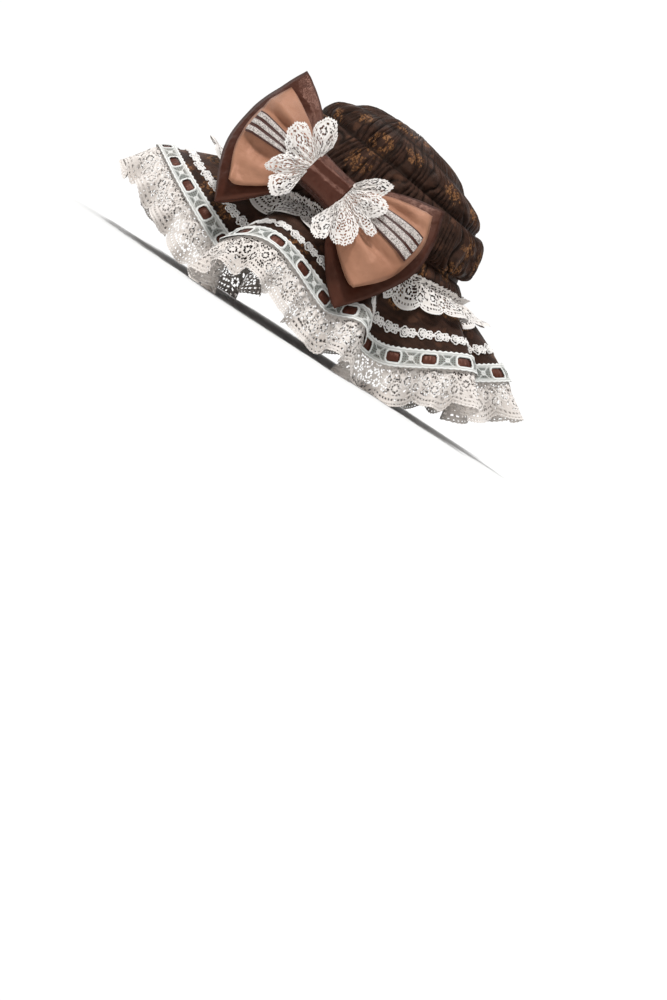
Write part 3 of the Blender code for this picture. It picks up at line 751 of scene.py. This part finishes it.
def crown_lace():
    """The ruffle round the crown's foot, with a small header that stands against the crown."""
    columns = CROWN_SCALLOPS * CROWN_CELLS
    share = np.arange(columns) / columns
    foot, _ = on_brim(share, 0.0)
    turn = np.arctan2(foot[:, 1] / BASE_HALF_LENGTH, foot[:, 0] / BASE_HALF_WIDTH)
    free = pressed(np.degrees(turn))
    # The scallops are even round the foot, not round the trim.
    even = np.unwrap(turn) / math.tau
    p = even * CROWN_SCALLOPS
    wave = np.cos(math.tau * p) * (1 + 0.2 * ripple(40, share, 81))
    scallop = np.abs(np.cos(math.pi * p)) ** 0.7
    hem_at = CROWN_LACE_HEM + CROWN_LACE_SCALLOP * scallop
    front = np.clip(-np.sin(turn), 0.0, None) ** 4
    rear = np.clip(np.sin(turn), 0.0, None) ** 2
    lift = free * (2.4 + 1.4 * wave + 6.0 * front + 2.5 * rear) + (1 - free) * (0.6 + 0.6 * wave)
    t = np.linspace(0.0, 1.0, CROWN_LACE_ROWS)[:, None]
    length = (CROWN_HEADER + hem_at - CROWN_LACE_FROM)[None]
    v = t * length
    distance = CROWN_LACE_FROM + np.clip(v - CROWN_HEADER, 0.0, None)
    rise = np.interp(distance, (CROWN_LACE_FROM, 20.0, 27.0), (0.0, 0.7, 1.4))
    pleat = np.sin(math.tau * (p * 3.5 + 0.6 * ripple(60, share, 82)))[None]
    bounce = 0.9 * near_zero(distance - 9.0, 6.0) * (1 + pleat)
    grid, _ = on_brim(share[None], distance, CROWN_LACE_SEAT + rise * lift[None] + bounce)
    head = np.clip(CROWN_HEADER - v, 0.0, None)
    away = np.stack([np.cos(turn), np.sin(turn), 0 * turn], 1)[None]
    flare = head / CROWN_HEADER
    grid = grid + np.array([0.0, 0.0, 1.0]) * (head * 0.92)[..., None]
    grid = grid + away * (0.1 * head + flare * (1.2 + 1.7 * pleat))[..., None]
    picot = 0.3 * np.where(np.arange(columns) % 3 == 0, 1.0, -0.5)[:, None]
    grid[-1] += away[0] * picot
    grid[0, :, 2] += 2.2 * picot[:, 0]
    u = np.broadcast_to(p * CROWN_PERIOD, v.shape)
    hem = length - v
    made = lace_piece("crown_lace_ruffle", grid, u, v, hem, CROWN_PATTERN, WHITE_LACE, "crown_lace")


# The ladder lace along the edge, and the ribbon that runs behind it.
LADDER_CELLS = 42
LADDER_ROWS = 25
OVER_RIBBON = 3.0
EYELET_PITCH = trim_length / EYELETS
EYELET_HALF_LONG = 5.7
EYELET_HALF_HIGH = 3.9


def eyelet_distance(along, across):
    """Distance outside a rounded eyelet, in mm, less than 0 inside it."""
    corner = 2.4
    dx = np.abs(along) - (EYELET_HALF_LONG - corner)
    dy = np.abs(across) - (EYELET_HALF_HIGH - corner)
    outside = np.hypot(np.clip(dx, 0, None), np.clip(dy, 0, None))
    return outside + np.minimum(np.maximum(dx, dy), 0.0) - corner


def from_eyelet(share):
    """Distances along the trim from the nearest eyelet's middle, in mm."""
    return ((share * EYELETS + 0.5 - EYELET_SHARE / 2) % 1.0 - 0.5) * EYELET_PITCH


def ladder():
    """The beading: rims round its eyelets, crossed bars between them and a border on each side."""
    columns = EYELETS * LADDER_CELLS
    share = np.arange(columns) / columns
    t = np.linspace(-1.0, 1.0, LADDER_ROWS)[:, None]
    edge_wave = 0.45 * np.cos(math.tau * share * EYELETS * 6)
    half = (BEADING_TO - BEADING_FROM) / 2
    across = t * (half + np.abs(t) ** 6 * edge_wave[None])
    along = np.broadcast_to(from_eyelet(share), across.shape)
    away = eyelet_distance(along, across)
    rim = near_zero(away - 0.85, 0.85)
    border = near_zero(np.abs(t) * half - half + 0.9, 1.0)
    inner = 0.8 * near_zero(np.abs(across) - half + 2.7, 0.45)
    bar = along - np.sign(along) * (EYELET_PITCH / 2)
    cross = np.minimum(np.abs(bar * 0.9 - across), np.abs(bar * 0.9 + across))
    cross = 0.85 * near_zero(cross, 0.6) * (np.abs(across) < 4.6)
    bud = 0.9 * near_zero(np.hypot(bar, across) - 1.5, 0.6)
    gimp = np.maximum.reduce([rim, border + 0 * rim, inner, cross, bud])
    lift = OVER_RIBBON + 0.85 * gimp
    grid, _ = on_brim(share[None], (BEADING_FROM + BEADING_TO) / 2 + across, lift)
    middle_along = along[:-1] + EYELET_PITCH / LADDER_CELLS / 2
    middle_across = (across[:-1] + across[1:]) / 2
    keep = eyelet_distance(middle_along, middle_across) > 0.0
    lattice = (np.arange(columns)[None] % 3 == 0) & (np.arange(LADDER_ROWS - 1)[:, None] % 3 == 1)
    keep &= ~(lattice & (gimp[:-1] < 0.3) & (np.abs(middle_across) < half - 2.0))
    flat = map_of(share[None] * trim_length, across)
    made = piece("beading_net", grid, flat, LADDER_LACE, "beading_lace", keep=keep, values={"gimp": gimp})


RIBBON_ROWS = 13
RIBBON_CELLS = 32
RIBBON_HALF = 3.9
UNDER_RIBBON = 1.7


def ribbon():
    """The satin ribbon, which rises a little in each eyelet."""
    columns = EYELETS * RIBBON_CELLS
    share = np.arange(columns) / columns
    along = from_eyelet(share)
    t = np.linspace(-1.0, 1.0, RIBBON_ROWS)[:, None]
    across = t * RIBBON_HALF
    bulge = np.clip(1 - (along / 6.5) ** 2, 0, None)[None] * (1 - 0.65 * t**2)
    crease = 0.22 * np.sin(along * 1.5 + 3 * ripple(60, share, 91))[None] * (1 - t**2)
    middle = (BEADING_FROM + BEADING_TO) / 2
    grid, _ = on_brim(share[None], middle + across, UNDER_RIBBON + 1.5 * bulge + crease)
    flat = map_of(share[None] * trim_length, across)
    made = piece("beading_satin", grid, flat, RIBBON_SATIN, "beading_ribbon")


# The guipure trim of roses and leaves.
ROSES = 66
ROSE_WIDER = 1.14
CORD_SIDES = 6
SPIRAL_TURNS = 2.2
PETALS = 5


def tube(x, y, z, radius, closed=False):
    """Points and quads of a round cord along a line of points."""
    path = np.stack(np.broadcast_arrays(x, y, z), 1)
    if closed:
        ahead = np.roll(path, -1, 0) - np.roll(path, 1, 0)
    else:
        ahead = np.gradient(path, axis=0)
    ahead = unit(ahead)
    side = unit(np.cross(ahead, (0.0, 0.0, 1.0)))
    over = np.cross(side, ahead)
    around = np.arange(CORD_SIDES)
    a = around * math.tau / CORD_SIDES
    ring = side[:, None] * np.cos(a)[None, :, None] + over[:, None] * np.sin(a)[None, :, None]
    points = path[:, None] + ring * radius
    count = len(path)
    k, m = np.meshgrid(np.arange(count if closed else count - 1), around, indexing="ij")
    j, n = (k + 1) % count * CORD_SIDES, (m + 1) % CORD_SIDES
    k = k * CORD_SIDES
    quads = np.stack([k + m, k + n, j + n, j + m], 2).reshape(-1, 4)
    if not closed:
        quads = np.vstack([quads, cap_quads(around), cap_quads((count - 1) * CORD_SIDES + around[::-1])])
    return points.reshape(-1, 3), quads


def rose_unit(pitch):
    """One rose, its leaves and the cord to the next, flat: x along the trim, y across, z up."""
    a = np.linspace(0.0, SPIRAL_TURNS * math.tau, 30)
    r = np.interp(a, (0.0, SPIRAL_TURNS * math.tau), (0.4, 2.5))
    parts = [tube(r * np.cos(a), r * np.sin(a), 1.5 - 0.28 * r, 0.44)]
    petal = 2.9 + 0.75 * np.cos(np.linspace(-math.pi / 2, math.pi / 2, 7))
    for k in range(PETALS):
        b = math.tau * (k + 0.3) / PETALS + np.linspace(-0.62, 0.62, 7)
        parts.append(tube(petal * np.cos(b), petal * np.sin(b), 0.55, 0.5))
    c = np.linspace(0.0, math.tau, 10, endpoint=False)
    for side in (-1, 1):
        for cx, cy, size in ((4.9, 1.5, 1.15), (6.75, 1.9, 1.0)):
            x = cx + size * 1.15 * np.cos(c)
            parts.append(tube(x, cy * side + size * np.sin(c) * 0.9, 0.55, 0.48, closed=True))
    c = np.linspace(0.0, math.tau, 8, endpoint=False)
    parts.append(tube(8.6 + 0.9 * np.cos(c), 0.9 * np.sin(c), 0.65, 0.5, closed=True))
    stem = np.linspace(2.2, pitch - 2.2, 9)
    parts.append(tube(stem, 0.4 * np.sin(stem), 0.45, 0.45))
    bases = np.cumsum([0] + [len(p) for p, _ in parts])
    quads = [q + base for (_, q), base in zip(parts, bases)]
    return np.concatenate([p for p, _ in parts]), np.concatenate(quads)


def rose_trim():
    """The roses in a row round the brim, with every second one mirrored."""
    places = np.arange(FIELD_COLUMNS + 1) / FIELD_COLUMNS
    along = lengths(on_brim(places, ROSE_LINE)[0])
    pitch = along[-1] / ROSES
    unit, quads = rose_unit(pitch)
    points, faces = [], []
    for k in range(ROSES):
        mirrored = 1 if k % 2 else -1
        x = unit[:, 0] + k * pitch + rng.uniform(-0.3, 0.3)
        place = np.interp(x % along[-1], along, places)
        wander = 0.5 * math.sin(k * 1.9)
        off = ROSE_LINE + mirrored * ROSE_WIDER * unit[:, 1] + wander
        found, _ = on_brim(place, off, 0.75 + ROSE_WIDER * unit[:, 2])
        points.append(found)
        flip = quads if mirrored > 0 else quads[:, ::-1]
        faces.append(flip + k * len(unit))
    points, faces = np.concatenate(points), np.concatenate(faces)
    corner = points[faces][..., :2].reshape(-1, 2) * MM
    made = mesh_piece("rose_guipure", (points - MIDDLE) * MM, faces, corner, WHITE_LACE, "rose_trim")
    paint(made, "gimp", np.ones(len(points)))


# The bow.


def bow_axes(turn):
    """The along, across and outward directions of one side of the bow, for an array of turns."""
    slope, lean = math.radians(BOW_SLOPE), math.radians(BOW_LEAN)
    along = np.array([0.0, math.cos(slope), -math.sin(slope)])
    upright = np.array([0.0, math.sin(slope), math.cos(slope)])
    across = upright * math.cos(lean) - np.array([math.sin(lean), 0.0, 0.0])
    yaw = np.radians(np.asarray(turn, float))[..., None]
    turned = unit(along * np.cos(yaw) + np.array([1.0, 0.0, 0.0]) * np.sin(yaw))
    return turned, across, unit(np.cross(turned, across))


def bow_point(side, a, w, out):
    """Points on one side of the bow. side is -1 for the front loop and 1 for the back one."""
    a, w, out = np.broadcast_arrays(*(np.asarray(v, float) for v in (a, w, out)))
    past = np.clip(a - KNOT_LENGTH / 2, 0.0, None)
    turn = FRONT_TURN if side < 0 else BACK_TURN
    near, across, _ = bow_axes(0.0)
    far, _, facing = bow_axes(turn * np.minimum(past / LOOP_BEND, 1.0))
    reach = (a - past)[..., None] * near + past[..., None] * far
    return KNOT_AT + side * reach + w[..., None] * across + out[..., None] * facing


def loop_sheet(side, loop, stations, share, layer, across, folds=0.0, dimples=(-0.56, 0.62), droop=0.0):
    """A layer of a loop at shares of its length, by places across it from -1 to 1. folds is the
    depth of its two dimples in mm, and droop is how far its lower side closes, from 0 to 1."""
    at = np.interp(share, [s.share for s in stations], np.arange(len(stations)))
    rows = np.array([(s.front, s.back, s.spread) for s in stations], float)
    front, back, spread = open_spline(rows, at).T[..., None]
    # The front layer comes down near the back one at the loop's open sides.
    pinch = 0.62 * np.clip((np.abs(across) - 0.5) / 0.5, 0.0, 1.0)[None] ** 1.5
    pinch = np.maximum(pinch, droop * np.clip((-across - 0.3) / 0.7, 0.0, 1.0)[None])
    out = front - pinch * (front - back) if layer == "front" else back
    tip = open_spline(np.array(loop.tip), (across + 1) * 2)[None]
    half = np.where(across > 0, loop.upper, -loop.lower)[None]
    w = half * across[None] * spread
    s = share[:, None]
    a = loop.length * s * (1.0 - (1.0 - tip) * s)
    if folds:
        fade = near_zero(s - 0.72, 0.26) * np.clip((s - 0.2) / 0.12, 0.0, 1.0)
        low, high = dimples
        drift = 0.5 * (0.8 - s)
        wide = 0.1 + 0.16 * np.abs(drift)
        below, above = across[None] - low, across[None] - high
        dents = near_zero(below + drift * 0.4, wide) + near_zero(above - drift * 0.4, wide)
        beyond = near_zero(below + 0.26, 0.1) + near_zero(above - 0.24, 0.1)
        out = out - folds * fade * (dents - 0.45 * beyond)
    return bow_point(side, a, w, out)


BOW_ALONG = 26
BOW_ROWS_ACROSS = 41
BOW_WALL = 1.1
BACK_FOLDS = 0.3


def bow(name, loops, stations, material, node, folds, dimples, droops):
    """One strip round both loops and back through the waist."""
    last = stations[-1].share
    out = np.linspace(0.0, 1.0, BOW_ALONG) * last
    across = np.linspace(-1.0, 1.0, BOW_ROWS_ACROSS)
    rows = []
    for k, (side, layers) in enumerate(((-1, ("back", "front")), (1, ("front", "back")))):
        for layer, share in zip(layers, (out[:-1], out[:0:-1])):
            depth = folds if layer == "front" else BACK_FOLDS * folds
            shape = (share, layer, across, depth, dimples[k], droops[k])
            rows.append(loop_sheet(side, loops[k], stations, *shape))
    grid = np.concatenate(rows).transpose(1, 0, 2)
    step = np.linalg.norm(np.roll(grid, -1, 1) - grid, axis=2).mean(0)
    along = np.concatenate([[0.0], np.cumsum(step)[:-1]])
    made = piece(name, grid, map_of(along[None], 60.0 * across[:, None]), material, node)
    thicken(made, BOW_WALL)


BAND_WIDTH = 23.0
BAND_WALL = 0.8
BAND_FROM = 0.34
BAND_TO = 0.965
BAND_ALONG = 60
BAND_ACROSS = 49
STRIPES = 3.0


def glitter_band(side, loop, limits, name, node):
    """The band on a small loop, with its stripes raised."""
    share = np.linspace(BAND_FROM, BAND_TO, BAND_ALONG)
    across = np.linspace(*limits, BAND_ACROSS)
    f = np.linspace(0.0, 1.0, BAND_ACROSS)
    grid = loop_sheet(side, loop, SMALL_STATIONS, share, "front", across)
    facing = bow_axes(FRONT_TURN if side < 0 else BACK_TURN)[2]
    stripe = np.clip((0.33 - np.abs(f * STRIPES % 1.0 - 0.5)) / 0.05, 0.0, 1.0)
    lift = 1.15 + 0.55 * stripe
    grid = grid + facing * lift[None, :, None]
    flat = map_of(share[:, None] * loop.length, f[None] * BAND_WIDTH)
    values = {"stripe": np.broadcast_to(stripe, grid.shape[:2])}
    made = piece(name, grid, flat, GLITTER, node, wraps=False, values=values)
    thicken(made, BAND_WALL, -1.0)


FAN_ROWS = 36
FAN_COLUMNS = 320
FAN_PERIOD = 17.0
FAN_BASE = 12.5
# Each row is a place along a fan's hem, from its lower end: its turn from the bow's length in
# degrees, how far it reaches from the knot's end and how far it stands off the loop, in mm.
FRONT_FAN = (
    (-94, 31, 2.0), (-84, 45, 5.0), (-76, 42, 6.5), (-70, 37, 5.5), (-69, 29, 1.0),
    (-64, 35, 3.0), (-59, 40, 6.0), (-53, 34, 7.5), (-45, 27, 6.5), (-32, 22, 1.0),
    (-18, 25, 4.0), (2, 28, 7.0), (21, 28, 8.0), (37, 25, 6.5), (45, 19, 1.0),
    (48, 25, 3.0), (62, 32, 6.0), (75, 36, 7.0), (84, 29, 6.0), (93, 19, 3.0),
)
BACK_FAN = (
    (-97, 33, 2.0), (-86, 43, 5.0), (-76, 46, 6.0), (-67, 42, 5.0), (-66, 35, 1.0),
    (-61, 43, 4.0), (-52, 47, 7.0), (-43, 46, 7.0), (-34, 39, 5.0), (-24, 31, 1.0),
    (-22, 39, 3.0), (-17, 43, 4.0), (-10, 41, 4.0), (-5, 30, 1.5), (5, 35, 6.0),
    (16, 37, 7.5), (26, 34, 6.5), (37, 30, 2.0), (47, 38, 6.0), (57, 34, 7.0),
    (69, 26, 5.0), (80, 18, 3.0),
)
FAN_PATTERN = dict(
    period=FAN_PERIOD, flowers=((0.5, 17.0, 7), (0.0, 24.0, 6)), arcs=((4.4, 0.9),), mesh_from=2.0
)


def fan(side, loop, lobes, name, node):
    """A lace fan that is gathered under the knot's end and spreads in folds over a small loop."""
    places = np.linspace(0.0, len(lobes) - 1.0, FAN_COLUMNS)
    turn, reach, stand = open_spline(np.array(lobes, float), places).T[:, None]
    t = np.linspace(0.0, 1.0, FAN_ROWS)[:, None]
    f = np.linspace(-1.0, 1.0, FAN_COLUMNS)[None]
    small = 0.5 * np.cos(math.tau * 1.1 * places)[None]
    picot = 0.45 * np.where(np.arange(FAN_COLUMNS) % 4 < 2, 1.0, -1.0)[None] * (t > 0.99)
    far = reach + small * t + picot
    angle = np.radians(turn)
    a = KNOT_LENGTH / 2 - 1.0 + t * far * np.cos(angle)
    w = FAN_BASE * f * (1 - t) + t * far * np.sin(angle)
    shares, fronts = zip(*((s.share, s.front) for s in SMALL_STATIONS))
    under = np.interp(np.clip(a, 0, None) / loop.length, shares, fronts)
    pleats = 0.7 * np.cos(math.tau * 0.9 * places)[None] * 4 * t * (1 - t) ** 2
    lift = 1.6 + np.clip(stand, 0.4, None) * t * (1.5 - 0.5 * t) + pleats
    grid = bow_point(side, a, w, under + lift)
    u = np.broadcast_to(lengths(grid[FAN_ROWS * 2 // 3]), a.shape)
    length = np.hypot(far * np.cos(angle), far * np.sin(angle) - FAN_BASE * f)[-1:]
    v = t * length
    made = lace_piece(name, grid, u, v, length - v, FAN_PATTERN, WHITE_LACE, node, wraps=False)


KNOT_SIDES = 96
KNOT_ROWS = 30
KNOT_WALL = 1.2
KNOT_HALF = 14.0
KNOT_FRONT = 5.3
KNOT_BACK = 7.0
KNOT_DEPTH = 25.1
SEWN_TURN = -18.0


def knot():
    """A satin band round both waists, creased along the bow's length."""
    along, across, outward = bow_axes(0.0)
    back = math.radians(SEWN_TURN)
    sewn_to = np.array([math.cos(back), math.sin(back), 0.0])
    f = np.linspace(-1.0, 1.0, KNOT_ROWS)[:, None]
    a = (np.arange(KNOT_SIDES) * math.tau / KNOT_SIDES)[None]
    square = 1.0 / (np.abs(np.cos(a)) ** 3 + np.abs(np.sin(a)) ** 3) ** (1 / 3)
    w = KNOT_HALF * np.cos(a) * square * (1.0 + 0.06 * f * f)
    fold = 1.5 * near_zero(w - 6.0 - f, 3.0) + 0.8 * near_zero(w + 3.5 - 1.5 * f, 2.4) - 0.6
    front = np.clip(np.sin(a), 0.0, None)
    deep = (KNOT_DEPTH - 4.5 * f) * -np.sin(a) * square
    w = w * np.where(np.sin(a) > 0, 1.0, 1.0 - 0.6 * np.clip(-np.sin(a) - 0.5, 0.0, None))
    out = KNOT_FRONT * front * square + fold * front**0.5
    out = np.where(np.sin(a) > 0, out, -np.clip(deep, 0.0, KNOT_BACK))
    sink = np.where(np.sin(a) > 0, 0.0, np.clip(deep - KNOT_BACK, 0.0, None))
    grid = KNOT_AT + along * (f * KNOT_LENGTH / 2 + 0 * a)[..., None]
    grid = grid + across * w[..., None] + outward * out[..., None] - sewn_to * sink[..., None]
    made = piece("knot_wrap", grid, map_of(f * 17.0, a * 9.0), KNOT_SATIN, "knot")
    thicken(made, KNOT_WALL)


# The camera's place, with its target and the height that it sees in metres.
CAMERA_RISE = 2.5
CAMERA_ROLL = 33.0
CAMERA_DISTANCE = 5.0
CAMERA_TARGET = (-0.0018, 0.09835, -0.0869)
FRAME_HEIGHT = 0.78
SENSOR = 36.0


def studio():
    """A pale floor, soft lights and the camera at the photo's angle."""
    scene = bpy.context.scene
    scene.view_settings.view_transform = "Standard"
    bpy.ops.mesh.primitive_circle_add(vertices=96, radius=6.0, fill_type="NGON", location=(0, 0, 0))
    floor = bpy.context.active_object
    floor.name = "floor"
    s = Shader("floor")
    floor.data.materials.append(s.finish((0.74, 0.74, 0.735), 0.9))

    # The sky is bright behind the hat and dim behind the camera.
    s = Shader("studio", bpy.data.worlds)
    ways = {0: s.node("TexCoord", output="Generated"), 1: (1.0, 0.0, -0.12)}
    toward = s.node("VectorMath", ways, output="Value", operation="DOT_PRODUCT")
    inputs = {"Value": toward, "From Min": -0.85, "From Max": 0.45, "To Min": 1.03, "To Max": 0.08}
    strength = s.node("MapRange", inputs, interpolation_type="SMOOTHSTEP")
    sky = s.nodes["Background"]
    s.put(strength, sky.inputs["Strength"])
    s.put((1.0, 1.0, 1.0), sky.inputs["Color"])
    scene.world = s.made
    for name, place, wide, strength in (
        ("key", (0.36, -0.25, 0.9), 12.0, 2.7),
        ("sheen", (0.27, 0.13, 0.95), 20.0, 0.6),
        ("fill", (1.0, -0.1, 0.25), 60.0, 0.5),
    ):
        light = bpy.data.objects.new(name, bpy.data.lights.new(name, "SUN"))
        light.data.angle = math.radians(wide)
        light.data.energy = strength
        light.rotation_euler = (-Vector(place)).to_track_quat("-Z", "Y").to_euler()
        scene.collection.objects.link(light)

    rise, roll = math.radians(CAMERA_RISE), math.radians(CAMERA_ROLL)
    back = Vector((math.cos(rise), 0.0, math.sin(rise)))
    right = Vector((0.0, 1.0, 0.0))
    up = back.cross(right)
    turned_right = math.cos(roll) * right + math.sin(roll) * up
    turned_up = -math.sin(roll) * right + math.cos(roll) * up
    matrix = Matrix((turned_right, turned_up, back)).transposed().to_4x4()
    matrix.translation = Vector(CAMERA_TARGET) + back * CAMERA_DISTANCE
    camera = bpy.data.objects.new("camera", bpy.data.cameras.new("camera"))
    camera.matrix_world = matrix
    camera.data.sensor_fit = "VERTICAL"
    camera.data.sensor_height = SENSOR
    camera.data.lens = SENSOR * CAMERA_DISTANCE / FRAME_HEIGHT
    camera.data.clip_end = 100.0
    scene.collection.objects.link(camera)
    scene.camera = camera


crown()
brim()
crown_lace()
rose_trim()
ladder()
ribbon()
edge_lace()
bow(
    "bow_large_satin", (LARGE_FRONT, LARGE_BACK), LARGE_STATIONS,
    DARK_SATIN, "bow_large",
    folds=2.4, dimples=((-0.62, 0.6), (-0.6, 0.62)), droops=(0.0, 0.0),
)
bow(
    "bow_small_satin", (SMALL_FRONT, SMALL_BACK), SMALL_STATIONS,
    TAN_SATIN, "bow_small",
    folds=5.0, dimples=((-0.47, 0.16), (-0.32, 0.66)), droops=(0.95, 0.25),
)
glitter_band(-1, SMALL_FRONT, BAND_FRONT, "glitter_stripes_front", "glitter_band_front")
glitter_band(1, SMALL_BACK, BAND_BACK, "glitter_stripes_back", "glitter_band_back")
fan(-1, SMALL_FRONT, FRONT_FAN, "lace_fan_front", "bow_lace_front")
fan(1, SMALL_BACK, BACK_FAN, "lace_fan_back", "bow_lace_back")
knot()
studio()
